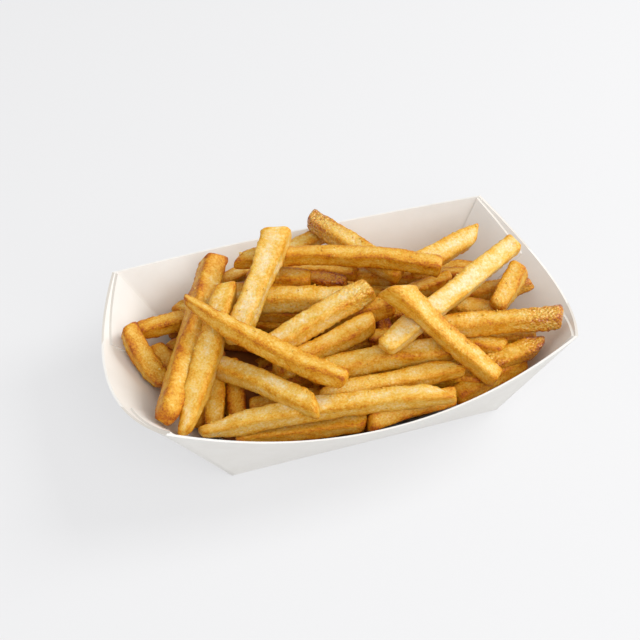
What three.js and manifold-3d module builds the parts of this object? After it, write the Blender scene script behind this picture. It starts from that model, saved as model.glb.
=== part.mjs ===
// French fries heaped in an open paperboard food tray.
//
// The tray is one sheet of white board, folded up round a flat base and glued at its four corners.
// Its long sides and its ends bow outwards, so their top edges curve out and dip in the middle.
// The fries are straight-cut potato, about 8 mm square and up to 90 mm long. They lie loose on each
// other, so the heap is one solid: a low mound with every fry that shows fused on.
//
// Millimetres, +Z up. The origin is the middle of the tray's underside, and +X runs along the tray.

import * as THREE from "three";
import { mergeVertices } from "three/addons/utils/BufferGeometryUtils.js";
import Module from "manifold-3d";

const wasm = await Module();
wasm.setup();

// Driving dimensions of the tray
const BASE_LENGTH = 103.4;
const BASE_WIDTH = 67;
const RIM_LENGTH = 150; // between the top corners
const RIM_WIDTH = 88;
const CORNER_HEIGHT = 40;
const SIDE_BULGE = 13; // how far a long side's top edge bows out at its middle
const SIDE_DIP = 9; // how far it drops there
const END_BULGE = 12.4;
const END_DIP = 11.2;
const BOARD = 0.6; // thickness of the paperboard
const BOARD_RUN = 0.75; // the same thickness, measured level through a sloping wall
const SIDE_STEPS = 48;
const END_STEPS = 40;

// Each side panel runs on round its corners as flaps, glued to the inside of the end panels
const FLAP_REACH = 0.6; // share of an end's half width that a flap covers
const FLAP_TUCK = 0.006; // and how far past the corner it starts, inside the side panel
const FLAP_FOOT = 0.08; // where it starts above the base, as a share of the wall
const FLAP_TOP = 0.99; // its height at the corner
const FLAP_END_TOP = 0.94; // and at its free end
const FLAP_STEPS = 12;

// Driving dimensions of the heap
const FRY_WIDTH = 7.5;
const FRY_HEIGHT = 7;
const CHAMFER = 0.22; // share of a fry's width that its worn long edges take
const TIP_LENGTH = 7; // the stretch over which an end thins
const WALL_GAP = 0.3; // between the food and the board
const MOUND_LENGTH = 120;
const MOUND_WIDTH = 78;
const MOUND_RISE = 16; // the mound's top above its own edge
const MOUND_EDGE = 12;

// The fries under the ones that show
const SEED = 333;
const LAYERS = [7, 11, 15, 19, 23, 27, 31]; // heights of their centres
const TRIES = 400; // places tried in each layer
const CLEARANCE = 5; // least distance between the middles of two fries
const WALL_ROOM = 4.9; // and from a fry's middle to the board
const HIGH = 25; // fries laid higher than this keep back from the walls
const HIGH_ROOM = 16;
const SPREAD = 1.6; // range of their headings about the tray's length, in radians
const COVER_REACH = 10; // each has a fry that shows within this distance, level
const COVER_DEPTH = 5; // and at least this much higher
const SHORTEST = 36;
const LONGEST = 72;

const boardWhite = new THREE.MeshStandardMaterial({ color: 0xf4f3f1, roughness: 0.55, metalness: 0 });
const friedGold = new THREE.MeshStandardMaterial({ color: 0xe0a850, roughness: 0.6, metalness: 0 });

// ---------------------------------------------------------------- solids and meshes

// A closed solid from a flat list of points and a flat list of triangles
function solid(points, triangles) {
  const mesh = new wasm.Mesh({
    numProp: 3,
    vertProperties: new Float32Array(points.flat()),
    triVerts: new Uint32Array(triangles.flat()),
  });
  return new wasm.Manifold(mesh);
}

// The triangles between rings of equal count, with a fan over the first and the last ring.
// Each quad is split along its shorter diagonal, so that two faces of one wall run parallel.
function loft(rings) {
  const count = rings[0].length;
  const points = rings.flat();
  const triangles = [];
  for (let i = 0; i < rings.length - 1; i++) {
    for (let j = 0; j < count; j++) {
      const a = i * count + j;
      const b = i * count + ((j + 1) % count);
      const rising = distance(points[a], points[b + count]);
      const falling = distance(points[b], points[a + count]);
      if (rising < falling) {
        triangles.push([a, b, b + count], [a, b + count, a + count]);
      } else {
        triangles.push([a, b, a + count], [b, b + count, a + count]);
      }
    }
  }
  const last = (rings.length - 1) * count;
  const bottom = points.push(middle(rings[0])) - 1;
  const top = points.push(middle(rings[rings.length - 1])) - 1;
  for (let j = 0; j < count; j++) {
    const k = (j + 1) % count;
    triangles.push([bottom, k, j], [top, last + j, last + k]);
  }
  return solid(points, triangles);
}

function distance(p, q) {
  return Math.hypot(p[0] - q[0], p[1] - q[1], p[2] - q[2]);
}

function middle(ring) {
  const sum = ring.reduce((s, p) => [s[0] + p[0], s[1] + p[1], s[2] + p[2]], [0, 0, 0]);
  return sum.map((v) => v / ring.length);
}

// The named mesh of a finished solid
function meshOf(name, body, material) {
  const { numProp, vertProperties, triVerts } = body.getMesh();
  const geometry = new THREE.BufferGeometry();
  const positions = new Float32Array((vertProperties.length / numProp) * 3);
  for (let i = 0; i < positions.length / 3; i++) {
    positions.set(vertProperties.subarray(i * numProp, i * numProp + 3), i * 3);
  }
  geometry.setAttribute("position", new THREE.BufferAttribute(positions, 3));
  geometry.setIndex(new THREE.BufferAttribute(new Uint32Array(triVerts), 1));
  const mesh = new THREE.Mesh(mergeVertices(geometry), material);
  mesh.geometry.computeVertexNormals();
  mesh.name = name;
  return mesh;
}

// ---------------------------------------------------------------- tray

// A wall panel is straight up its slope. `along` runs from -1 to 1 between its corners, and
// `up` from 0 at the base to 1 at the top edge. `inset` moves the panel inwards, level.
function sidePoint(along, up, inset) {
  const bow = 1 - along * along;
  const x = along * (BASE_LENGTH / 2 - inset + (up * (RIM_LENGTH - BASE_LENGTH)) / 2);
  const spread = (RIM_WIDTH - BASE_WIDTH) / 2 + SIDE_BULGE * bow;
  return [x, BASE_WIDTH / 2 - inset + up * spread, up * (CORNER_HEIGHT - SIDE_DIP * bow)];
}

function endPoint(along, up, inset) {
  const bow = 1 - along * along;
  const y = along * (BASE_WIDTH / 2 - inset + (up * (RIM_WIDTH - BASE_WIDTH)) / 2);
  const spread = (RIM_LENGTH - BASE_LENGTH) / 2 + END_BULGE * bow;
  return [BASE_LENGTH / 2 - inset + up * spread, y, up * (CORNER_HEIGHT - END_DIP * bow)];
}

// One turn round the tray, seen from above anticlockwise, starting at the corner at +X and -Y.
// upAt gives how far up the wall each point is, from the wall's height there.
function wallRing(upAt, inset) {
  const ring = [];
  for (let i = 0; i < END_STEPS; i++) {
    const along = (2 * i) / END_STEPS - 1;
    ring.push(endPoint(along, upAt(endPoint(along, 1, 0)[2]), inset));
  }
  for (let i = 0; i < SIDE_STEPS; i++) {
    const along = 1 - (2 * i) / SIDE_STEPS;
    ring.push(sidePoint(along, upAt(sidePoint(along, 1, 0)[2]), inset));
  }
  const opposite = ring.map(([x, y, z]) => [-x, -y, z]);
  return [...ring, ...opposite];
}

// A glue flap: a strip of board on the inside of an end panel, from the corner to its free end
function cornerFlap(endSign, sideSign) {
  const sunk = BOARD_RUN * 0.6;
  const inner = BOARD_RUN * 2;
  const rings = [];
  for (let i = 0; i <= FLAP_STEPS; i++) {
    const share = i / FLAP_STEPS;
    const along = 1 + FLAP_TUCK - FLAP_REACH * share;
    const top = FLAP_TOP - (FLAP_TOP - FLAP_END_TOP) * share;
    const section = [[FLAP_FOOT, sunk], [top, sunk], [top, inner], [FLAP_FOOT, inner]];
    const points = section.map(([up, inset]) => endPoint(along, up, inset));
    const ring = points.map(([x, y, z]) => [endSign * x, sideSign * y, z]);
    rings.push(endSign * sideSign > 0 ? ring : ring.reverse());
  }
  return loft(rings);
}

// Underside, outer face, top edge, inner face and floor, in one turn of the section
function makeTray() {
  const foot = wallRing(() => 0, 0);
  const outerRim = wallRing(() => 1, 0);
  const innerRim = wallRing(() => 1, BOARD_RUN);
  const floor = wallRing((height) => BOARD / height, BOARD_RUN);
  let tray = loft([foot, outerRim, innerRim, floor]);
  for (const endSign of [1, -1]) {
    for (const sideSign of [1, -1]) {
      tray = tray.add(cornerFlap(endSign, sideSign));
    }
  }
  return meshOf("tray", tray, boardWhite);
}

// ---------------------------------------------------------------- fries

const fries = [];

// Lays one fry between the middles of its two ends.
// turn rolls it about its length, in degrees; lift and sway bow its middle up and towards -Y;
// tips are the thickness of its two ends, as a share of its section.
function lay(start, end, width = FRY_WIDTH, height = FRY_HEIGHT, shape = {}) {
  const { turn = 0, lift = 0, sway = 0, tips = [0.9, 0.9] } = shape;
  fries.push({
    start: new THREE.Vector3(...start),
    end: new THREE.Vector3(...end),
    width,
    height,
    turn: THREE.MathUtils.degToRad(turn),
    lift,
    sway,
    tips,
  });
}

// The fry's own directions: along it, level across it, and up
function directions(fry) {
  const along = fry.end.clone().sub(fry.start).normalize();
  const across = along.clone().cross(new THREE.Vector3(0, 0, 1)).normalize();
  const up = across.clone().cross(along);
  return { along, across, up };
}

// The middle of a fry's section, t from 0 to 1 along it
function middleLine(fry, t) {
  const { across, up } = directions(fry);
  const bow = 4 * t * (1 - t);
  return fry.start
    .clone()
    .lerp(fry.end, t)
    .addScaledVector(up, fry.lift * bow)
    .addScaledVector(across, fry.sway * bow);
}

// A square section with its long edges worn off
function fryRing(fry, t, share) {
  const { across, up } = directions(fry);
  const wide = across.clone().multiplyScalar(Math.cos(fry.turn)).addScaledVector(up, Math.sin(fry.turn));
  const tall = up.clone().multiplyScalar(Math.cos(fry.turn)).addScaledVector(across, -Math.sin(fry.turn));
  const centre = middleLine(fry, t);
  const flat = 0.5 - CHAMFER;
  const corners = [
    [0.5, -flat], [0.5, flat], [flat, 0.5], [-flat, 0.5],
    [-0.5, flat], [-0.5, -flat], [-flat, -0.5], [flat, -0.5],
  ];
  return corners.map(([a, b]) =>
    centre
      .clone()
      .addScaledVector(wide, a * fry.width * share)
      .addScaledVector(tall, b * fry.height * share)
      .toArray());
}

function frySolid(fry) {
  const length = fry.start.distanceTo(fry.end);
  const tip = Math.min(0.3, TIP_LENGTH / length);
  const bent = fry.lift !== 0 || fry.sway !== 0;
  const inner = bent ? [0.35, 0.65] : [];
  const rings = [fryRing(fry, 0, fry.tips[0]), fryRing(fry, tip, 1)];
  inner.forEach((t) => rings.push(fryRing(fry, t, 1)));
  rings.push(fryRing(fry, 1 - tip, 1), fryRing(fry, 1, fry.tips[1]));
  return loft(rings.reverse());
}

// On top of the heap
lay([-54, 13, 47], [-10, -38, 39], 8, 7.3, { turn: 8, lift: -1, sway: 2, tips: [0.5, 0.85] });
lay([16, -15, 55], [45, -44, 28], 8, 7.3, { turn: -5, tips: [1.5, 0.95] });
lay([-13, 33, 52], [-41, -3, 35], 9, 7, { turn: 8, tips: [1.2, 0.85] });
lay([-29, 34, 41], [42, 4, 43], 7.6, 7, { lift: 2.5, sway: -2, tips: [0.75, 1.05] });
lay([74, 8, 43], [7, -29, 41], 8, 6.5, { turn: 15, tips: [0.9, 0.9] });
lay([12, -1, 45], [-31, -11, 36], 9, 8, { turn: 5 });
lay([-37, 20, 42], [-67, -31, 25], 10, 8, { tips: [0.85, 0.45] });
lay([-36, 42, 38], [-71.7, -26.5, 29], 8.5, 8.5, { turn: 35, tips: [1, 0.85] });
lay([-50, -1, 26], [-22, -43, 34], 7.6, 7.2, { lift: 1.5, tips: [0.9, 0.7] });
lay([-61, -29, 21], [24, -49, 32], 7.6, 7, { lift: 2.5, tips: [0.5, 0.8] });
lay([32, -17, 34], [76.3, -30, 36.8], 7.6, 6.6, { tips: [0.8, 1] });
lay([65, 24, 38], [33.5, 12.4, 38.4], 9, 7.5, { turn: 30, tips: [0.75, 1] });
lay([6, 54, 38], [28, 9, 38.3], 7.4, 6.8, { tips: [1, 0.95] });
lay([11, 50.5, 31.3], [-36, 36, 29]);

// Half sunk between those
lay([10, -10, 37], [-30, -18, 31], 7.6, 6.6, { turn: 5 });
lay([-18, -23, 31], [34, -28, 33], 8, 7.4);
lay([-18, -33, 28], [33, -36, 29], 7.4, 6.4, { lift: 1, tips: [0.8, 0.85] });
lay([-38, 22, 34], [9, 3, 37], 8.4, 7.6);
lay([-25, 34, 33], [-4, 20, 36]);
lay([-12, 33, 29], [8, 15, 35], 6.5, 6, { tips: [1, 0.8] });
lay([-10, 36, 31], [15, 22, 33], 7, 6.5);
lay([-14, 1, 31], [20, -4, 37]);
lay([-54, 37, 21.5], [-13, 9, 23]);
lay([-36, 24, 28], [-5, 7, 29]);
lay([8, -11, 29], [27, -15, 30], 7, 6.6);
lay([17, 3, 28], [15, -16, 25], 7, 5);
lay([-16, 34, 25.5], [24, 12, 25.5]);
lay([34, -2, 21.5], [62, 5, 22]);
lay([14, 25.5, 30.5], [43, 14.5, 28.3], 7.4, 7);

// Towards the end at +X
lay([74, 2, 37], [58, -12, 31], 7.6, 7, { turn: 10, tips: [0.95, 0.85] });
lay([42, 6, 26], [79, 0, 28], 7.2, 6.8, { tips: [0.9, 0.6] });
lay([38, 4, 27], [62, -12, 27], 7.4, 6.8);
lay([28, 9, 28], [49, 11, 30], 7, 7);
lay([40, 30, 21], [66, 22, 22], 6, 5, { tips: [0.9, 0.6] });
lay([28, -14, 28], [54, -31, 28], 7.6, 6.8);
lay([42, -34, 25], [68, -32.5, 29.8], 8, 7.4, { tips: [0.9, 0.5] });
lay([38, -16, 21], [68, -27, 27], 7.2, 6.8);

// Along the side at -Y
lay([30, -42, 22], [61, -32.5, 22.2], 7.2, 6.8);
lay([20, -27, 23], [42, -39, 24]);
lay([-48, -32, 17], [-4.5, -43.3, 22.2], FRY_WIDTH, FRY_HEIGHT, { tips: [0.9, 1] });
lay([-4.3, -46.2, 24.5], [29, -44, 25.4], 6.8, 6.4, { turn: -37 });

// Towards the end at -X
lay([-74.5, 21, 32.5], [-66, -1, 19.3], 7.6, 6.6, { lift: -1, sway: 2, tips: [0.8, 0.85] });
lay([-72, 22, 28], [-42.5, 23.5, 27.2], 7, 6.6, { tips: [0.8, 0.9] });
lay([-61.5, 21.5, 17.6], [-46, 8, 13]);
lay([-66.5, 18.5, 21.8], [-59, 2, 16.5], 7, 6.6);
lay([-46.2, 5, 25], [-55.2, -25, 17]);
lay([-42.2, 1, 22], [-46.2, -25, 15]);
lay([-40, -20, 18], [-13, -27, 22]);
lay([-52, -1, 14], [-59, -18, 14.2], 7, 6.6);

// A repeatable draw between 0 and 1
let state = SEED;
function draw() {
  state = (state * 1664525 + 1013904223) % 4294967296;
  return state / 4294967296;
}

// How far a point lies inside the walls, measured square to them
function roomInside(point) {
  const alongSide = Math.min(1, Math.abs(point.x) / (RIM_LENGTH / 2));
  const alongEnd = Math.min(1, Math.abs(point.y) / (RIM_WIDTH / 2));
  const [, sideY, sideZ] = sidePoint(alongSide, 1, 0);
  const [endX, , endZ] = endPoint(alongEnd, 1, 0);
  const sideRun = sideY - BASE_WIDTH / 2;
  const endRun = endX - BASE_LENGTH / 2;
  const toSide = BASE_WIDTH / 2 + (sideRun * point.z) / sideZ - Math.abs(point.y);
  const toEnd = BASE_LENGTH / 2 + (endRun * point.z) / endZ - Math.abs(point.x);
  const square = (gap, run, rise) => (gap * rise) / Math.hypot(run, rise) - BOARD;
  return Math.min(point.z - BOARD, square(toSide, sideRun, sideZ), square(toEnd, endRun, endZ));
}

const SAMPLES = 13;
function samples(fry) {
  return Array.from({ length: SAMPLES }, (_, i) => middleLine(fry, i / (SAMPLES - 1)));
}

// Whether a point is well below one of the fries that show
function isCovered(point, shown) {
  const near = shown.filter((q) => Math.hypot(q.x - point.x, q.y - point.y) < COVER_REACH);
  return near.some((q) => q.z > point.z + COVER_DEPTH);
}

// The lower fries lie nearly every way. One that would cross a wall or a fry already there, or
// would come out from under the fries that show, is skipped.
function layUnderneath() {
  const shown = fries.flatMap(samples);
  const taken = [...shown];
  for (const height of LAYERS) {
    const wallRoom = height > HIGH ? HIGH_ROOM : WALL_ROOM;
    for (let i = 0; i < TRIES; i++) {
      const x = (draw() - 0.5) * RIM_LENGTH;
      const y = (draw() - 0.5) * RIM_WIDTH;
      const heading = (draw() - 0.5) * SPREAD;
      const reach = (SHORTEST + (LONGEST - SHORTEST) * draw()) / 2;
      const tilt = (draw() - 0.5) * 5;
      const dx = Math.cos(heading) * reach;
      const dy = Math.sin(heading) * reach;
      lay([x - dx, y - dy, height - tilt], [x + dx, y + dy, height + tilt]);
      const points = samples(fries[fries.length - 1]);
      const inside = points.every((p) => roomInside(p) > wallRoom && isCovered(p, shown));
      const clear = points.every((p) => taken.every((q) => p.distanceTo(q) > CLEARANCE));
      if (inside && clear) {
        taken.push(...points);
      } else {
        fries.pop();
      }
    }
  }
}

// The mound that the lowest fries are sunk in
function mound() {
  const floor = BOARD + WALL_GAP;
  const rings = [[BASE_LENGTH - 6, BASE_WIDTH - 6, floor], [MOUND_LENGTH, MOUND_WIDTH, MOUND_EDGE]];
  for (const share of [0.8, 0.55, 0.25]) {
    rings.push([MOUND_LENGTH * share, MOUND_WIDTH * share, MOUND_EDGE + MOUND_RISE * (1 - share * share)]);
  }
  const steps = 32;
  const squareness = 0.55;
  return loft(rings.map(([length, width, z]) =>
    Array.from({ length: steps }, (_, i) => {
      const angle = (i / steps) * Math.PI * 2;
      const c = Math.cos(angle);
      const s = Math.sin(angle);
      const x = (length / 2) * Math.sign(c) * Math.abs(c) ** squareness;
      const y = (width / 2) * Math.sign(s) * Math.abs(s) ** squareness;
      return [x, y, z];
    })));
}

// The outside of a body without the hollows sealed in it or the scraps loose beside it
function wholeBody(body) {
  return body.decompose().reduce((a, b) => (a.volume() > b.volume() ? a : b));
}

function makeFries() {
  layUnderneath();
  let heap = mound();
  for (const fry of fries) {
    heap = heap.add(frySolid(fry));
  }
  return meshOf("fries", wholeBody(heap), friedGold);
}

const object = new THREE.Group();
object.add(makeTray(), makeFries());
export default object;
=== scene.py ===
import math

import bmesh
import bpy
import numpy as np
from mathutils import Euler, Matrix, Vector, noise
from mathutils.bvhtree import BVHTree


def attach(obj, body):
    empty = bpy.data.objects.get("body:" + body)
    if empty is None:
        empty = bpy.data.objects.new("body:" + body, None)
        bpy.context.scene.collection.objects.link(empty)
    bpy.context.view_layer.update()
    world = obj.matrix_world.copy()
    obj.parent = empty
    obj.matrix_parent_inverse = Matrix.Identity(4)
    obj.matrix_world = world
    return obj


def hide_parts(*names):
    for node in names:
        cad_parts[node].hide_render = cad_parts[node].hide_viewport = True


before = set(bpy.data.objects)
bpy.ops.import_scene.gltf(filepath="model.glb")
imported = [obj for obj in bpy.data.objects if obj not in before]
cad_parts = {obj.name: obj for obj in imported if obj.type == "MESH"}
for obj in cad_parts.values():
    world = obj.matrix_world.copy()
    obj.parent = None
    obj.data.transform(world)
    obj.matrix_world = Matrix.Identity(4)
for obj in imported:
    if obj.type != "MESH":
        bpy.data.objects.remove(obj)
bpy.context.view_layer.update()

# ---------------------------------------------------------------- Tray
# One sheet of white paperboard, die-cut, folded up round a flat base and glued at its four corners,
# where a flap of each side lies inside the end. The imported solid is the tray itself, so here it
# only gets its finish.

MM = 0.001


def linear(colour):
    """The linear values of an sRGB hex colour, with full alpha."""
    parts = [int(colour[i : i + 2], 16) / 255 for i in (1, 3, 5)]
    bent = [p / 12.92 if p <= 0.04045 else ((p + 0.055) / 1.055) ** 2.4 for p in parts]
    return (*bent, 1.0)


def new_material(name, values):
    """A material, its node tree and its surface, with the surface's plain values set."""
    material = bpy.data.materials.new(name)
    material.use_nodes = True
    surface = material.node_tree.nodes["Principled BSDF"]
    for socket, value in values.items():
        surface.inputs[socket].default_value = value
    return material, material.node_tree, surface


def add_node(tree, kind, values=None, links=None, **settings):
    """One node with its settings, its plain values and what is linked into it.

    A shader node goes by the short name of its kind, and any other node by its whole name.
    """
    node = tree.nodes.new(kind if "Node" in kind else "ShaderNode" + kind)
    for name, value in settings.items():
        setattr(node, name, value)
    for socket, value in (values or {}).items():
        node.inputs[socket].default_value = value
    for socket, output in (links or {}).items():
        tree.links.new(output, node.inputs[socket])
    return node


# Clay-coated board: a soft, slightly warm white with a faint fibre cloud and a dull sheen
BOARD_WHITE = "#ebe9e5"
BOARD_CLOUD = "#e3e0da"
BOARD_WARM_TINT = "#e6d3b4"
PULP = "#d5cfc6"
FIBRE_CLOUD = 6 * MM
FIBRE = 0.5 * MM  # drawn coarse enough to show
FIBRE_RELIEF = 0.05 * MM
WARM_TINT_MOST = 0.35  # the most that it tints, where it is deepest
WARM_TINT_DEEPEST = 10 * MM
WARM_TINT_TOP = 34 * MM
FACE_LEAN = 3 * MM  # a wall's place along its own normal is past this, inwards or outwards
EDGE_LEVEL = 0.2  # the top edge's normal points up by more than this
SHARE, FROM, TO, MIXED = 0, 6, 7, 2  # the sockets of a mix of two colours

board, tree, sheen = new_material("clay_coated_paperboard", {"Roughness": 0.5, "IOR": 1.5})
where = add_node(tree, "TexCoord")
on_tray = {"Vector": where.outputs["Object"]}
cloud = add_node(tree, "TexNoise", {"Scale": 1 / FIBRE_CLOUD, "Detail": 4.0}, on_tray)
clouded = add_node(
    tree, "Mix", {FROM: linear(BOARD_WHITE), TO: linear(BOARD_CLOUD)}, {SHARE: cloud.outputs["Fac"]},
    data_type="RGBA",
)

# inside and low down, where the fries lie, the board is tinted a warmer cream, more so towards the bottom
facing = add_node(
    tree, "VectorMath", {}, {0: where.outputs["Object"], 1: where.outputs["Normal"]}, operation="MULTIPLY"
)
ways = add_node(tree, "SeparateXYZ", {}, {"Vector": facing.outputs[0]})
outward = add_node(tree, "Math", {}, {0: ways.outputs["X"], 1: ways.outputs["Y"]}, operation="ADD")
inside = add_node(tree, "Math", {1: -FACE_LEAN}, {0: outward.outputs[0]}, operation="LESS_THAN")
spot = add_node(tree, "SeparateXYZ", {}, on_tray)
deepened = add_node(
    tree, "MapRange", {"From Min": WARM_TINT_TOP, "From Max": WARM_TINT_DEEPEST, "To Max": WARM_TINT_MOST},
    {"Value": spot.outputs["Z"]},
)
tint_share = add_node(tree, "Math", {}, {0: inside.outputs[0], 1: deepened.outputs["Result"]}, operation="MULTIPLY")
tinted = add_node(
    tree, "Mix", {TO: linear(BOARD_WARM_TINT)}, {SHARE: tint_share.outputs[0], FROM: clouded.outputs[MIXED]},
    data_type="RGBA",
)

# its cut edges show the pulp between the coats, which is a little greyer
normal = add_node(tree, "SeparateXYZ", {}, {"Vector": where.outputs["Normal"]})
upward = add_node(tree, "Math", {1: EDGE_LEVEL}, {0: normal.outputs["Z"]}, operation="GREATER_THAN")
outside = add_node(tree, "Math", {1: FACE_LEAN}, {0: outward.outputs[0]}, operation="GREATER_THAN")
cut_edge = add_node(tree, "Math", {}, {0: upward.outputs[0], 1: outside.outputs[0]}, operation="MULTIPLY")
edged = add_node(
    tree, "Mix", {TO: linear(PULP)}, {SHARE: cut_edge.outputs[0], FROM: tinted.outputs[MIXED]},
    data_type="RGBA",
)
fibres = add_node(tree, "TexNoise", {"Scale": 1 / FIBRE, "Detail": 3.0}, on_tray)
pressed = add_node(
    tree, "Bump", {"Strength": 0.12, "Distance": FIBRE_RELIEF}, {"Height": fibres.outputs["Fac"]}
)
tree.links.new(edged.outputs[MIXED], sheen.inputs["Base Color"])
tree.links.new(pressed.outputs["Normal"], sheen.inputs["Normal"])
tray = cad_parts["tray"]
for socket in tray.material_slots:
    socket.material = board

# its bowed panels catch the light as smooth sheets, and its folds and cut edges stay crisp
FOLD = math.radians(38)  # the gentlest fold, at the foot of an end, turns by a little more
SAME_PLACE = 0.001 * MM

panels = bpy.data.node_groups.new("smooth_panels", "GeometryNodeTree")
panels.interface.new_socket("Geometry", in_out="INPUT", socket_type="NodeSocketGeometry")
panels.interface.new_socket("Geometry", in_out="OUTPUT", socket_type="NodeSocketGeometry")
loose = add_node(panels, "NodeGroupInput")
merged = add_node(
    panels, "GeometryNodeMergeByDistance", {"Distance": SAME_PLACE}, {"Geometry": loose.outputs[0]}
)
smoothed = add_node(panels, "GeometryNodeSetShadeSmooth", {}, {"Geometry": merged.outputs[0]})
angle = add_node(panels, "GeometryNodeInputMeshEdgeAngle")
folded = add_node(panels, "FunctionNodeCompare", {"B": FOLD}, {"A": angle.outputs["Unsigned Angle"]})
creased = add_node(
    panels, "GeometryNodeSetShadeSmooth", {"Shade Smooth": False},
    {"Geometry": smoothed.outputs[0], "Selection": folded.outputs["Result"]}, domain="EDGE",
)
add_node(panels, "NodeGroupOutput", {}, {0: creased.outputs[0]})
tray.modifiers.new("smooth_panels", "NODES").node_group = panels
tray.modifiers.new("even_panels", "WEIGHTED_NORMAL").keep_sharp = True

# ---------------------------------------------------------------- Fries
# Straight-cut potato sticks, about 8 mm square, fried: broad faces pale gold and a little sunken,
# long edges crisp and browned, ends darker. Each is one cut stick, copied, stretched to length and
# bent along its middle line, so that all of them stay whole where they cross.

STICK = 60.0  # the cut stick before it is stretched, mm
SIDE = 8.0
WORN = 2.1  # what its long edges and ends lose to their rounding
NARROWEST_FLAT = 3.0  # its flat faces are wider than this, and the strips of its rounding narrower
TIP_LENGTH = 7.0  # the stretch at each end that keeps its length
FRY_WIDTH = 7.5
FRY_HEIGHT = 7.0


def cut_stick(along, across, rounds):
    """A square stick with rounded edges, as rows of quads: its mesh, in mm round its middle."""
    bm = bmesh.new()
    bmesh.ops.create_cube(bm, size=1)
    bmesh.ops.scale(bm, vec=(STICK, SIDE, SIDE), verts=bm.verts)
    bmesh.ops.bevel(
        bm, geom=list(bm.edges), offset=WORN, offset_type="OFFSET", segments=rounds, profile=0.5,
        affect="EDGES", material=-1,
    )
    long_edges = [e for e in bm.edges if e.calc_length() > SIDE]
    bmesh.ops.subdivide_edges(bm, edges=long_edges, cuts=along - 1, use_grid_fill=True)
    flat_edges = [e for e in bm.edges if e.calc_length() > NARROWEST_FLAT]
    bmesh.ops.subdivide_edges(bm, edges=flat_edges, cuts=across - 1, use_grid_fill=True)
    bmesh.ops.reverse_faces(bm, faces=bm.faces)  # laying a stick mirrors it
    mesh = bpy.data.meshes.new("cut_stick")
    bm.to_mesh(mesh)
    bm.free()
    return mesh


laid = []


def lay(start, end, width=FRY_WIDTH, height=FRY_HEIGHT, turn=0.0, lift=0.0, sway=0.0, tips=(0.9, 0.9),
        reach=(TIP_LENGTH, TIP_LENGTH), slant=(0.0, 0.0), shade=0.4, crust=(0.0, 0.0)):
    """Lays one fry between the middles of its two ends, in mm.

    turn rolls it about its length, in degrees; lift and sway bow its middle up and towards -Y; tips
    are the thickness of its two ends, as a share of its section, and reach the lengths over which
    it narrows to them; slant is how far each end's cut runs on from its middle to one side; shade
    is how brown it is, from 0 to 1; crust is how bubbly and hard its skin is at each end.
    """
    laid.append(dict(
        start=Vector(start), end=Vector(end), width=width, height=height, turn=math.radians(turn),
        lift=lift, sway=sway, tips=tips, reach=reach, slant=slant, shade=shade, crust=crust,
    ))


def directions(fry):
    """The fry's own directions: along it, level across it, and up."""
    along = (fry["end"] - fry["start"]).normalized()
    across = along.cross(Vector((0, 0, 1))).normalized()
    return along, across, across.cross(along)


def middle_line(fry, t):
    """The middle of a fry's section, t from 0 to 1 along it."""
    _, across, up = directions(fry)
    bow = 4 * t * (1 - t)
    return fry["start"].lerp(fry["end"], t) + up * (fry["lift"] * bow) + across * (fry["sway"] * bow)


# On top of the heap
lay((-54, 13, 47), (-10, -38, 39), 8, 7.3, turn=8, lift=-1, sway=2, tips=(0.4, 0.85), reach=(20, 9),
    shade=0.5)
lay((16, -15, 55), (45, -44, 28), 8, 7.3, turn=-5, tips=(1.5, 0.95), reach=(14, 7), slant=(-5.5, 0),
    shade=0.4)
lay((-13, 33, 52), (-41, -3, 35), 9, 7, turn=8, tips=(1.25, 0.85), reach=(16, 9), slant=(3.5, 0),
    shade=0.3)
lay((-29, 34, 41), (42, 4, 43), 7.6, 7, lift=2.5, sway=-2, tips=(0.75, 1.05), slant=(-1.5, 0),
    shade=0.46)
lay((74, 8, 43), (7, -29, 41), 8, 6.5, turn=15, tips=(0.92, 0.9), reach=(14, 9), shade=0.3)
lay((12, -1, 45), (-31, -11, 36), 9, 8, turn=5, shade=0.33, crust=(0.5, 0))
lay((-37, 20, 42), (-67, -31, 25), 10, 8, tips=(0.85, 0.45), reach=(7, 16), slant=(1.8, 0), shade=0.38)
lay((-36, 42, 38), (-71.7, -26.5, 29), 8.5, 8.5, turn=35, tips=(1, 0.85), slant=(2.3, 0), shade=0.5)
lay((-50, -1, 26), (-22, -43, 34), 7.6, 7.2, lift=1.5, tips=(0.9, 0.75), slant=(0, 2.5), shade=0.38)
lay((-61, -29, 21), (24, -49, 32), 7.6, 7, lift=2.5, tips=(0.5, 0.75), reach=(15, 9), slant=(0, 3),
    shade=0.34)
lay((32, -17, 34), (76.3, -30, 36.8), 7.6, 6.6, tips=(0.8, 1), shade=0.44, crust=(0, 1))
lay((65, 24, 38), (33.5, 12.4, 38.4), 9, 7.5, turn=30, tips=(0.8, 1), slant=(-3.5, 0), shade=0.3)
lay((6, 54, 38), (28, 9, 38.3), 7.4, 6.8, tips=(1, 0.95), slant=(2.5, 0), shade=0.45, crust=(1, 0))
lay((11, 50.5, 31.3), (-36, 36, 29), shade=0.4)

# Half sunk between those
lay((10, -10, 37), (-30, -18, 31), 7.6, 6.6, turn=5, shade=0.4)
lay((-18, -23, 31), (34, -28, 33), 8, 7.4, shade=0.4)
lay((-18, -33, 28), (33, -36, 29), 7.4, 6.4, lift=1, tips=(0.8, 0.75), reach=(9, 9), slant=(0, 2.5),
    shade=0.38)
lay((-38, 22, 34), (9, 3, 37), 8.4, 7.6, shade=0.4)
lay((-25, 34, 33), (-4, 20, 36), shade=0.5)
lay((-12, 33, 29), (8, 15, 35), 6.5, 6, tips=(1, 0.8), shade=0.65, crust=(0.8, 0.8))
lay((-10, 36, 31), (15, 22, 33), 7, 6.5, shade=0.5)
lay((-14, 1, 31), (20, -4, 37), shade=0.5)
lay((-54, 37, 21.5), (-13, 9, 23), shade=0.5)
lay((-36, 24, 28), (-5, 7, 29), shade=0.5)
lay((8, -11, 29), (27, -15, 30), 7, 6.6, shade=0.55)
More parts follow.
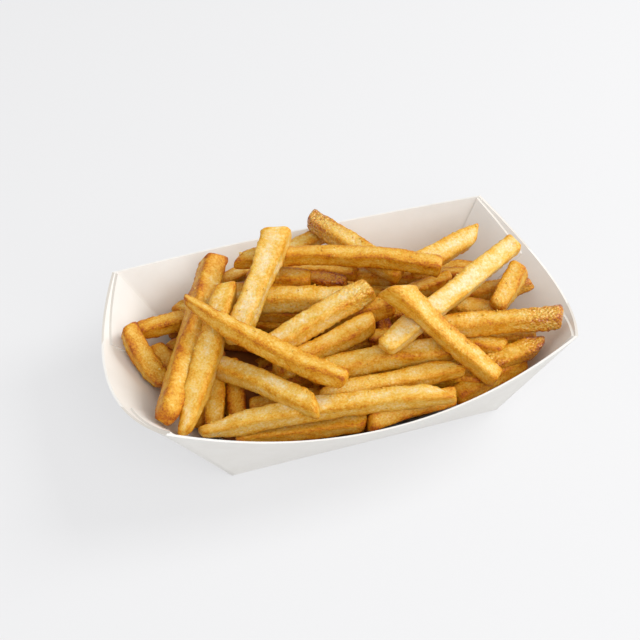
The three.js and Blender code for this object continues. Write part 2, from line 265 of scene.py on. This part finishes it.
lay((17, 3, 28), (15, -16, 25), 7, 5, shade=0.85, crust=(0.5, 0.5))
lay((-16, 34, 25.5), (24, 12, 25.5), shade=0.5)
lay((34, -2, 21.5), (62, 5, 22), shade=0.5)
lay((14, 25.5, 30.5), (43, 14.5, 28.3), 7.4, 7, shade=0.45)

# Towards the end at +X
lay((74, 2, 37), (58, -12, 31), 7.6, 7, turn=10, tips=(0.95, 0.85), shade=0.4)
lay((42, 6, 26), (79, 0, 28), 7.2, 6.8, tips=(0.9, 0.6), shade=0.55, crust=(0, 0.4))
lay((38, 4, 27), (62, -12, 27), 7.4, 6.8, shade=0.5)
lay((28, 9, 28), (49, 11, 30), 7, 7, shade=0.45)
lay((40, 30, 21), (66, 22, 22), 6, 5, tips=(0.9, 0.6), shade=0.5)
lay((28, -14, 28), (54, -31, 28), 7.6, 6.8, shade=0.45)
lay((42, -34, 25), (68, -32.5, 29.8), 8, 7.4, tips=(0.9, 0.45), reach=(7, 6), shade=0.5, crust=(0.9, 1))
lay((38, -16, 21), (68, -27, 27), 7.2, 6.8, shade=0.5)

# Along the side at -Y
lay((30, -42, 22), (61, -32.5, 22.2), 7.2, 6.8, shade=0.5)
lay((20, -27, 23), (42, -39, 24), shade=0.5)
lay((-48, -32, 17), (-4.5, -43.3, 22.2), tips=(0.9, 1), shade=0.5)
lay((-4.3, -46.2, 24.1), (29, -44, 25.0), 7.2, 6.8, turn=-37, tips=(1, 0.9), shade=0.5)

# Towards the end at -X
lay((-74.5, 21, 32.5), (-66, -1, 19.3), 7.6, 6.6, lift=-1, sway=2, tips=(0.8, 0.85), shade=0.55)
lay((-72, 22, 28), (-42.5, 23.5, 27.2), 7, 6.6, tips=(0.8, 0.9), shade=0.5)
lay((-61.5, 21.5, 17.6), (-46, 8, 13), shade=0.5)
lay((-66.5, 18.5, 21.8), (-59, 2, 16.5), 7, 6.6, shade=0.55)
lay((-46.2, 5, 25), (-55.2, -25, 17), shade=0.5)
lay((-42.2, 1, 22), (-46.2, -25, 15), shade=0.6)
lay((-40, -20, 18), (-13, -27, 22), shade=0.5)
lay((-52, -1, 14), (-59, -18, 14.2), 7, 6.6, shade=0.5)

# The fries under the ones that show lie roughly along the tray, by a seeded draw. One that would
# cross the tray or another fry, or would come out from under those that show, is skipped.
BASE = (103.4, 67.0)  # the tray's length and width at its base
RIM = (150.0, 88.0)  # and between its top corners
CORNER_HEIGHT = 40.0
BULGE = (12.4, 13.0)  # of an end and of a side, where its top edge bows out
DIP = (11.2, 9.0)
BOARD = 0.6
SEED = 333
LAYERS = (7, 11, 15, 19, 23, 27, 31)  # heights of their centres
TRIES = 400  # places tried in each layer
CLEARANCE = 5  # least distance between the middles of two fries
WALL_ROOM = 4.9  # and from a fry's middle to the board
HIGH = 25  # fries laid higher than this keep back from the walls
HIGH_ROOM = 16
SPREAD = 1.6  # range of their headings about the tray's length, in radians
TILT = 5
COVER_REACH = 10  # each has a fry that shows within this distance, level
COVER_DEPTH = 5  # and at least this much higher
SHORTEST = 36
LONGEST = 72
# painted shade: the fries underneath are coloured browner than those on top, so the gaps between them look
# deep
UNDER_PAINTED_SHADE = 0.62
PARTS = 12  # that a fry is measured in, along its middle


def even_draws(state):
    """Draws from 0 to 1, the same ones on every run and in every program."""
    while True:
        state = (state * 1664525 + 1013904223) % 2 ** 32
        yield state / 2 ** 32


def room_inside(point):
    """How far a point lies inside the tray's walls, square to them, in mm."""
    gaps = [point.z - BOARD]
    for wall, other in ((0, 1), (1, 0)):
        along = min(1, abs(point[other]) / (RIM[other] / 2))
        bow = 1 - along * along
        run = (RIM[wall] - BASE[wall]) / 2 + BULGE[wall] * bow
        rise = CORNER_HEIGHT - DIP[wall] * bow
        level = BASE[wall] / 2 + run * point.z / rise - abs(point[wall])
        gaps.append(level * rise / math.hypot(run, rise) - BOARD)
    return min(gaps)


def middles(fry):
    """Points along the middle of a fry, from end to end."""
    return [middle_line(fry, i / PARTS) for i in range(PARTS + 1)]


shown = len(laid)
shown_middles = np.array([p for fry in laid for p in middles(fry)])
taken = shown_middles
draws = even_draws(SEED)
for height in LAYERS:
    wall_room = HIGH_ROOM if height > HIGH else WALL_ROOM
    for _ in range(TRIES):
        x = (next(draws) - 0.5) * RIM[0]
        y = (next(draws) - 0.5) * RIM[1]
        heading = (next(draws) - 0.5) * SPREAD
        half = (SHORTEST + (LONGEST - SHORTEST) * next(draws)) / 2
        tilt = (next(draws) - 0.5) * TILT
        dx = math.cos(heading) * half
        dy = math.sin(heading) * half
        lay((x - dx, y - dy, height - tilt), (x + dx, y + dy, height + tilt), shade=UNDER_PAINTED_SHADE)
        points = middles(laid[-1])
        fits = all(room_inside(p) > wall_room for p in points)
        if fits:
            here = np.array(points)
            level = np.linalg.norm(shown_middles[None, :, :2] - here[:, None, :2], axis=2)
            above = shown_middles[None, :, 2] > here[:, None, 2] + COVER_DEPTH
            covered = ((level < COVER_REACH) & above).any(axis=1).all()
            apart = np.linalg.norm(taken[None] - here[:, None], axis=2).min() > CLEARANCE
            fits = covered and apart
        if fits:
            taken = np.vstack([taken, here])
        else:
            laid.pop()

# What frying does to a cut stick. Lengths are in mm, and the rest are shares of half its side.
LUMPS = 0.2  # swells of its skin to a mm
NIBBLES = 0.7
DRIFT = 0.055  # and of the whole stick
LUMP_DEPTH = 0.06
NIBBLE_DEPTH = 0.03
CRUST_DEPTH = 0.06  # more where it is crusty
EDGE_DEPTH = 0.07  # and along its long edges
SINK = 0.1  # how far its faces dry in
SINK_RANGE = (0.4, 1.4)  # times that, from face to face
OUT_OF_SQUARE = 0.12
TOP_LEAN = 0.5  # its top and bottom lean less than its sides
WIDE_DRIFT = 0.16
TALL_DRIFT = 0.14
ROLL_DRIFT = 0.25  # radians
SIDE_DRIFT = 0.7
RISE_DRIFT = 0.8
ROUGH_CUT = 0.5
RAGGED_CUT = 0.88  # how far its end is cut off square
EDGE_FULL = 0.86  # how far out on a face the browning of its edge is whole
FACE_LEVEL = 0.8  # what lies further out than this is on a face, and sinks with it
BROWN_TIP = 4
CRUST_FULL = 0.15  # share of its length from a crusty end, up to where the crust is whole
CRUST_GONE = 0.45
SIDE_PAINTED_SHADE = 0.08  # painted shade on its sides, against painted light on its top and bottom
TOP_PAINTED_LIGHT = 0.45
SIDE_BLEND = 0.25
SHADE_RANGE = 0.04
PLACES = 400  # patterns start anywhere in this range, so no two fries share one
LINES_APART = 7


def ramp(value, low, high):
    """0 below low, 1 above high, and straight between."""
    return np.clip((value - low) / (high - low), 0, 1)


def noise_at(places, swells=1):
    """Soft noise from -1 to 1 at each place."""
    return np.array([noise.noise(Vector(place * swells)) for place in places])


def fry_vertices(fry, stick, seed):
    """Where the cut stick's vertices go for one fry, in mm, with their finish and their own places."""
    rng = np.random.default_rng(seed)
    length = (fry["end"] - fry["start"]).length
    x, y, z = stick.T / [[1], [SIDE / 2], [SIDE / 2]]
    from_start = x + STICK / 2
    from_end = STICK / 2 - x
    middle = TIP_LENGTH + (from_start - TIP_LENGTH) * (length - 2 * TIP_LENGTH) / (STICK - 2 * TIP_LENGTH)
    run = np.where(from_end < TIP_LENGTH, length - from_end, middle)
    run = np.where(from_start < TIP_LENGTH, from_start, run)

    # each vertex's own place in the patterns, and the slow drifts of the whole stick
    offset = rng.uniform(0, PLACES, 3)
    places = np.column_stack([run, y * SIDE / 2, z * SIDE / 2]) + offset
    lumps = noise_at(places, LUMPS)
    nibbles = noise_at(places, NIBBLES)
    drifts = []
    for i in range(5):
        line = [(r * DRIFT, offset[0], offset[1] + LINES_APART * i) for r in run]
        drifts.append(noise_at(np.array(line)))
    side_drift, rise_drift, wide_drift, tall_drift, roll_drift = drifts

    # how it is fried: crisp along its edges, browner at its tips, and crusty where it says; its sides get
    # painted shade and its top and bottom painted light
    edge = ramp(np.minimum(abs(y), abs(z)), 0, EDGE_FULL)
    tip = 1 - ramp(np.minimum(run, length - run), 0, BROWN_TIP)
    crust = fry["crust"][0] * (1 - ramp(run / length, CRUST_FULL, CRUST_GONE))
    crust = crust + fry["crust"][1] * ramp(run / length, 1 - CRUST_GONE, 1 - CRUST_FULL)
    # painted shade on the faces that look sideways, and painted light on those that look up and down
    beside = ramp(abs(y) - abs(z), -SIDE_BLEND, SIDE_BLEND)
    shade = fry["shade"] + SIDE_PAINTED_SHADE * (beside - TOP_PAINTED_LIGHT) + rng.uniform(-SHADE_RANGE, SHADE_RANGE)

    # a cut stick is seldom square: it leans, and is wider on one face; its faces dry in and sink
    sunk = SINK * rng.uniform(*SINK_RANGE, 4)
    side_sunk = np.where(y > 0, sunk[0], sunk[1])
    top_sunk = np.where(z > 0, sunk[2], sunk[3])
    side = y * (1 - side_sunk * (1 - z ** 2) * ramp(abs(y), FACE_LEVEL, 1) * (1 - tip))
    rise = z * (1 - top_sunk * (1 - y ** 2) * ramp(abs(z), FACE_LEVEL, 1) * (1 - tip))
    lean, spread = rng.uniform(-OUT_OF_SQUARE, OUT_OF_SQUARE, 2)
    swell = 1 + LUMP_DEPTH * lumps + (NIBBLE_DEPTH + CRUST_DEPTH * crust + EDGE_DEPTH * edge) * nibbles
    share = 1 + (fry["tips"][0] - 1) * (1 - ramp(run, 0, fry["reach"][0]))
    share = share + (fry["tips"][1] - 1) * ramp(run, length - fry["reach"][1], length)
    side = (side * (1 + spread * z) + lean * z) * swell * share
    rise = (rise + lean * y * TOP_LEAN) * swell * share
    side = side * (1 + WIDE_DRIFT * wide_drift) * fry["width"] / 2
    rise = rise * (1 + TALL_DRIFT * tall_drift) * fry["height"] / 2

    # its ends are cut at a slant, and a little rough
    first = 1 - ramp(run, 0, TIP_LENGTH)
    last = ramp(run, length - TIP_LENGTH, length)
    cut = rng.uniform(-RAGGED_CUT, RAGGED_CUT, 4)
    run = run + first * (y * (fry["slant"][0] + cut[0]) + z * cut[1]) + ROUGH_CUT * lumps * (first + last)
    run = run + last * (y * (fry["slant"][1] + cut[2]) + z * cut[3])

    # then it goes to its place along its middle line
    along, across, up = (np.array(d) for d in directions(fry))
    roll = fry["turn"] + ROLL_DRIFT * roll_drift
    t = run / length
    bow = 4 * t * (1 - t)
    out = np.array(fry["start"]) + np.outer(t * length, along)
    sideways = side * np.cos(roll) - rise * np.sin(roll) + fry["sway"] * bow + SIDE_DRIFT * side_drift
    upward = side * np.sin(roll) + rise * np.cos(roll) + fry["lift"] * bow + RISE_DRIFT * rise_drift
    out = out + np.outer(sideways, across) + np.outer(upward, up)
    return out * MM, np.column_stack([edge, tip, shade, crust]), places


def new_piece(name, bm, material):
    """A finished bmesh as a smooth piece of the scene."""
    mesh = bpy.data.meshes.new(name)
    bm.to_mesh(mesh)
    bm.free()
    mesh.shade_smooth()
    mesh.materials.append(material)
    piece = bpy.data.objects.new(name, mesh)
    bpy.context.scene.collection.objects.link(piece)
    return piece


def keep_finish(mesh, finish, places):
    """Keeps on each vertex how it is fried and its own place, for the skin to read."""
    kept = mesh.color_attributes.new("finish", "FLOAT_COLOR", "POINT")
    kept.data.foreach_set("color", finish.ravel())
    kept = mesh.attributes.new("own_place", "FLOAT_VECTOR", "POINT")
    kept.data.foreach_set("vector", places.ravel())


def fry_piece(name, pile, first_seed, stick_mesh):
    """One object of many fries, each a copy of the cut stick moved to its place."""
    stick = np.array([vertex.co for vertex in stick_mesh.vertices])
    bm = bmesh.new()
    for _ in pile:
        bm.from_mesh(stick_mesh)
    piece = new_piece(name, bm, skin)
    done = [fry_vertices(fry, stick, first_seed + i) for i, fry in enumerate(pile)]
    vertices, finish, places = (np.vstack(part) for part in zip(*done))
    piece.data.vertices.foreach_set("co", vertices.ravel())
    keep_finish(piece.data, finish, places)
    piece.data.update()
    return piece


# Deep-fried potato: a dry blistered skin over a pale starchy inside, so light goes a little way in.
# To the eye it is matt gold with a touch of oil, mottled paler on the broad faces.
BROWNING = ("#f0e2c4", "#ead198", "#e5b952", "#d99818", "#bc6803", "#7e2e02")
SPECK_BROWN = "#8a4a14"
MOTTLE = 6.25  # sizes of its patterns, in mm
GRAIN = 10 / 13  # thirteen grains to the centimetre
BLISTER = 2.0
BUBBLE = 10 / 9
SPECK = 1.25
LIGHT_REACH = 1.2 * MM  # into the starch
SKIN_RELIEF = 0.8 * MM
GRAIN_BROWNING = 0.75
CRUST_BROWNING = 0.3  # what a crust adds to that
PALING = 0.43  # taken off the sum, so that a fry comes out pale gold
SPECKS_FROM = 0.7
SPECKS_FULL = 0.78
SPECK_SHARE = 0.6
BLISTER_DIPS = 0.4  # against a grain of 1
BUBBLE_DOMES = 3.0
SKIN_OIL = 0.1
CRUST_OIL = 0.9

skin, tree, flesh = new_material("fried_potato_skin", {
    "Roughness": 0.45,
    "IOR": 1.45,
    "Specular IOR Level": 0.3,
    "Subsurface Weight": 0.35,
    "Subsurface Radius": (1.0, 0.55, 0.2),
    "Subsurface Scale": LIGHT_REACH,
    "Coat Roughness": 0.2,
})
own = add_node(tree, "Attribute", attribute_name="own_place")
finish = add_node(tree, "Attribute", attribute_name="finish")
fried = add_node(tree, "SeparateColor", {}, {"Color": finish.outputs["Color"]})
edge, tip, shade = fried.outputs
crust = finish.outputs["Alpha"]
on_fry = {"Vector": own.outputs["Vector"]}
mottle = add_node(tree, "TexNoise", {"Scale": 1 / MOTTLE, "Detail": 3.0, "Roughness": 0.5}, on_fry)
grain = add_node(tree, "TexNoise", {"Scale": 1 / GRAIN, "Detail": 3.0, "Roughness": 0.6}, on_fry)
blisters = add_node(
    tree, "TexVoronoi", {"Scale": 1 / BLISTER, "Smoothness": 0.6}, on_fry, feature="SMOOTH_F1"
)
bubbles = add_node(
    tree, "TexVoronoi", {"Scale": 1 / BUBBLE, "Smoothness": 0.3}, on_fry, feature="SMOOTH_F1"
)
bubbly = add_node(tree, "Math", {}, {0: bubbles.outputs["Distance"], 1: crust}, operation="MULTIPLY")

# its browning is a sum: the grain, stronger on a crust, then each of these by its amount
contrast = add_node(
    tree, "Math", {1: CRUST_BROWNING, 2: GRAIN_BROWNING}, {0: crust}, operation="MULTIPLY_ADD"
)
centred = add_node(tree, "Math", {1: 0.5}, {0: grain.outputs["Fac"]}, operation="SUBTRACT")
browning = add_node(tree, "Math", {}, {0: centred.outputs[0], 1: contrast.outputs[0]}, operation="MULTIPLY")
for output, amount in (
    (shade, 1.0),
    (edge, 0.28),
    (tip, 0.16),
    (mottle.outputs["Fac"], 0.6),
    (blisters.outputs["Distance"], 0.15),
    (bubbly.outputs[0], 0.12),
):
    links = {0: output, 2: browning.outputs[0]}
    browning = add_node(tree, "Math", {1: amount}, links, operation="MULTIPLY_ADD")
browning = add_node(tree, "Math", {1: PALING}, {0: browning.outputs[0]}, operation="SUBTRACT")
tone = add_node(tree, "ValToRGB", {}, {"Fac": browning.outputs[0]})
bands = tone.color_ramp.elements
last_band = len(BROWNING) - 1
for i in range(1, last_band):
    bands.new(i / last_band)
for band, colour in zip(bands, BROWNING):
    band.color = linear(colour)
specks = add_node(tree, "TexNoise", {"Scale": 1 / SPECK, "Detail": 2.0}, on_fry)
speck_mask = add_node(
    tree, "MapRange", {"From Min": SPECKS_FROM, "From Max": SPECKS_FULL, "To Max": SPECK_SHARE},
    {"Value": specks.outputs["Fac"]},
)
speckled = add_node(
    tree, "Mix", {TO: linear(SPECK_BROWN)},
    {SHARE: speck_mask.outputs["Result"], FROM: tone.outputs["Color"]}, data_type="RGBA",
)

# its relief is the grain, pitted between the blisters, and the domes of the crust's bubbles
pitted = add_node(
    tree, "Math", {1: -BLISTER_DIPS}, {0: blisters.outputs["Distance"], 2: grain.outputs["Fac"]},
    operation="MULTIPLY_ADD",
)
domed = add_node(
    tree, "Math", {1: -BUBBLE_DOMES}, {0: bubbly.outputs[0], 2: pitted.outputs[0]},
    operation="MULTIPLY_ADD",
)
rough = add_node(tree, "Bump", {"Strength": 0.55, "Distance": SKIN_RELIEF}, {"Height": domed.outputs[0]})
oil = add_node(tree, "Math", {1: CRUST_OIL, 2: SKIN_OIL}, {0: crust}, operation="MULTIPLY_ADD")
tree.links.new(speckled.outputs[MIXED], flesh.inputs["Base Color"])
tree.links.new(oil.outputs[0], flesh.inputs["Coat Weight"])
tree.links.new(rough.outputs["Normal"], flesh.inputs["Normal"])
tree.links.new(rough.outputs["Normal"], flesh.inputs["Coat Normal"])

TOP_SEED = 100
UNDER_SEED = 500

fine_stick = cut_stick(along=64, across=3, rounds=3)
plain_stick = cut_stick(along=26, across=2, rounds=2)
top = fry_piece("fries_that_show", laid[:shown], TOP_SEED, fine_stick)
under = fry_piece("fries_underneath", laid[shown:], UNDER_SEED, plain_stick)
for piece in (top, under):
    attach(piece, "root")
    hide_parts("fries")

# ---------------------------------------------------------------- Heap's core
# The lowest fries lie packed on the tray's floor, in the shadow of all the others. They are the
# same fried potato, and here they are one low lumpy mound that fills the tray's foot.

CORE = (112.0, 70.0)
CORE_LEVEL = 8  # of its widest line
CORE_RISE = 7  # from there to its top
CORE_DROP = 6.8  # and to its underside
FOOT = 0.75  # how much narrower its underside is
SQUARENESS = 3  # power that fills its outline out towards the tray's corners
LUMPY_FROM = 6  # it is smooth below this height, next to the board
CORE_LUMPS = 0.12  # swells to a mm, wide ones and small ones, and their heights
CORE_LUMP = 2.0
CORE_KNOBS = 0.3
CORE_KNOB = 0.8
TINY = 1e-6  # keeps its two poles from dividing by nothing
SHADOW_DARK = "#6a3208"
SHADOW_GOLD = "#a8641a"
CLUMP = 5 * MM

bm = bmesh.new()
bmesh.ops.create_uvsphere(bm, u_segments=96, v_segments=40, radius=1)
for vertex in bm.verts:
    x, y, z = vertex.co
    square = (abs(x) ** SQUARENESS + abs(y) ** SQUARENESS) ** (1 / SQUARENESS) + TINY
    filled = math.hypot(x, y) / square
    foot = FOOT if z < 0 else 1
    tall = CORE_DROP if z < 0 else CORE_RISE
    across = (x * filled * CORE[0] / 2 * foot, y * filled * CORE[1] / 2 * foot)
    place = Vector((*across, CORE_LEVEL + z * tall))
    lump = noise.noise(place * CORE_LUMPS) * CORE_LUMP + noise.noise(place * CORE_KNOBS) * CORE_KNOB
    if place.z > LUMPY_FROM:
        place += Vector((x, y, max(z, 0))) * lump
    vertex.co = place * MM
bmesh.ops.recalc_face_normals(bm, faces=bm.faces)

# The same potato with painted shade: a dull dark brown in clumps, for the shadow deep under the heap
shadow_skin, tree, deep = new_material("fried_potato_in_shadow", {"Roughness": 0.7})
where = add_node(tree, "TexCoord")
clumps = add_node(tree, "TexNoise", {"Scale": 1 / CLUMP, "Detail": 5.0}, {"Vector": where.outputs["Object"]})
dark = add_node(
    tree, "Mix", {FROM: linear(SHADOW_DARK), TO: linear(SHADOW_GOLD)}, {SHARE: clumps.outputs["Fac"]},
    data_type="RGBA",
)
tree.links.new(dark.outputs[MIXED], deep.inputs["Base Color"])
core = new_piece("heap_core", bm, shadow_skin)
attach(core, "root")
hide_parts("fries")

# ---------------------------------------------------------------- Crumbs
# Bits of crisp skin, about 1 mm, that broke off the fries in the fryer and lie loose on them.
# Each is a small lump of the same fried potato, browner than a whole fry.

DROPS = 210  # those that miss the heap, or land on its steep faces, are left out
DROP_AREA = (70, 45)  # each way from the tray's middle
DROP_HEIGHT = 80
STEEPEST = 0.55  # least rise of the normal where a crumb stays
CRUMB = (0.5, 1.3)
CRUMB_SUNK = 0.15  # shares of a crumb's size
CRUMB_CRAG = 0.14
CRUMB_FINISH = (0.0, 0.0, 0.5, 0.1)  # its edge, tip, shade and crust
CRUMB_SEED = 21

heap = bmesh.new()
for piece in (top, under):
    heap.from_mesh(piece.data)
below = BVHTree.FromBMesh(heap)
heap.free()
bm = bmesh.new()
rng = np.random.default_rng(CRUMB_SEED)
for _ in range(DROPS):
    x = rng.uniform(-DROP_AREA[0], DROP_AREA[0])
    y = rng.uniform(-DROP_AREA[1], DROP_AREA[1])
    hit, facing, _, _ = below.ray_cast(Vector((x, y, DROP_HEIGHT)) * MM, Vector((0, 0, -1)))
    if hit is None or facing.z < STEEPEST:
        continue
    size = rng.uniform(*CRUMB) * MM
    turned = Euler(rng.uniform(0, 3, 3)).to_matrix().to_4x4()
    flattened = Matrix.Diagonal((*rng.uniform(0.5, 1, 3), 1))
    place = Matrix.Translation(hit + facing * size * CRUMB_SUNK) @ turned @ flattened
    crumb = bmesh.ops.create_icosphere(bm, subdivisions=1, radius=size / 2, matrix=place)
    for vertex in crumb["verts"]:
        vertex.co += Vector(rng.uniform(-CRUMB_CRAG, CRUMB_CRAG, 3)) * size
crumbs = new_piece("crumbs", bm, skin)
points = np.array([vertex.co for vertex in crumbs.data.vertices])
keep_finish(crumbs.data, np.tile(CRUMB_FINISH, (len(points), 1)), points / MM)
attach(crumbs, "root")
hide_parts("fries")

# ---------------------------------------------------------------- Table
# A plain matt white sheet, level under the tray and out past the view on every side. It isn't
# part of the object.

TABLE_REACH = 3.0
SHEET_GREY = "#959595"
SHEET_GLOW = "#fdfdff"

# Matt white board, with a faint light of its own so that it looks evenly white
sheet, _, _ = new_material("matt_white_sheet", {
    "Base Color": linear(SHEET_GREY),
    "Roughness": 0.9,
    "Specular IOR Level": 0.1,
    "Emission Color": linear(SHEET_GLOW),
    "Emission Strength": 0.53,
})
bm = bmesh.new()
bmesh.ops.create_grid(bm, x_segments=1, y_segments=1, size=TABLE_REACH)
table = new_piece("table", bm, sheet)

# ---------------------------------------------------------------- Lamps and camera
# Two large soft lamps, the key from the tray's far right end and the fill from its near side, with
# light all round from a white studio. The camera looks down on the near side, from a little left.

STUDIO_LIGHT = 0.68
KEY_PLACE = (0.8, 0.0, 0.7)
KEY_SIZE = 0.5
KEY_WATTS = 6.2
FILL_PLACE = (0.1, -0.75, 0.75)
FILL_SIZE = 0.8
FILL_WATTS = 4.4

studio = bpy.data.worlds.new("white_studio")
studio.use_nodes = True
light = studio.node_tree.nodes["Background"]
light.inputs["Color"].default_value = linear("#ffffff")
light.inputs["Strength"].default_value = STUDIO_LIGHT
bpy.context.scene.world = studio


def soft_lamp(name, place, size, watts):
    """A square area lamp, aimed at the middle of the tray."""
    lamp = bpy.data.lights.new(name, "AREA")
    lamp.size = size
    lamp.energy = watts
    holder = bpy.data.objects.new(name, lamp)
    holder.location = place
    holder.rotation_euler = (-Vector(place)).to_track_quat("-Z", "Y").to_euler()
    bpy.context.scene.collection.objects.link(holder)


soft_lamp("key_lamp", KEY_PLACE, KEY_SIZE, KEY_WATTS)
soft_lamp("fill_lamp", FILL_PLACE, FILL_SIZE, FILL_WATTS)

LENS = 74.35
SENSOR = 36.0
AZIMUTH = math.radians(-17.79)
ELEVATION = math.radians(42.25)
ROLL = math.radians(-0.55)
DISTANCE = 0.5364
AIM = (0.00424, 0.03548, 0.0)

away = Vector((
    math.sin(AZIMUTH) * math.cos(ELEVATION), -math.cos(AZIMUTH) * math.cos(ELEVATION), math.sin(ELEVATION),
))
camera = bpy.data.objects.new("camera", bpy.data.cameras.new("camera"))
camera.data.lens = LENS
camera.data.sensor_width = SENSOR
camera.location = Vector(AIM) + away * DISTANCE
level = (-away).to_track_quat("-Z", "Y").to_matrix()
camera.rotation_euler = (level @ Matrix.Rotation(ROLL, 3, "Z")).to_euler()
bpy.context.scene.collection.objects.link(camera)
bpy.context.scene.camera = camera
bpy.context.scene.view_settings.view_transform = "Standard"
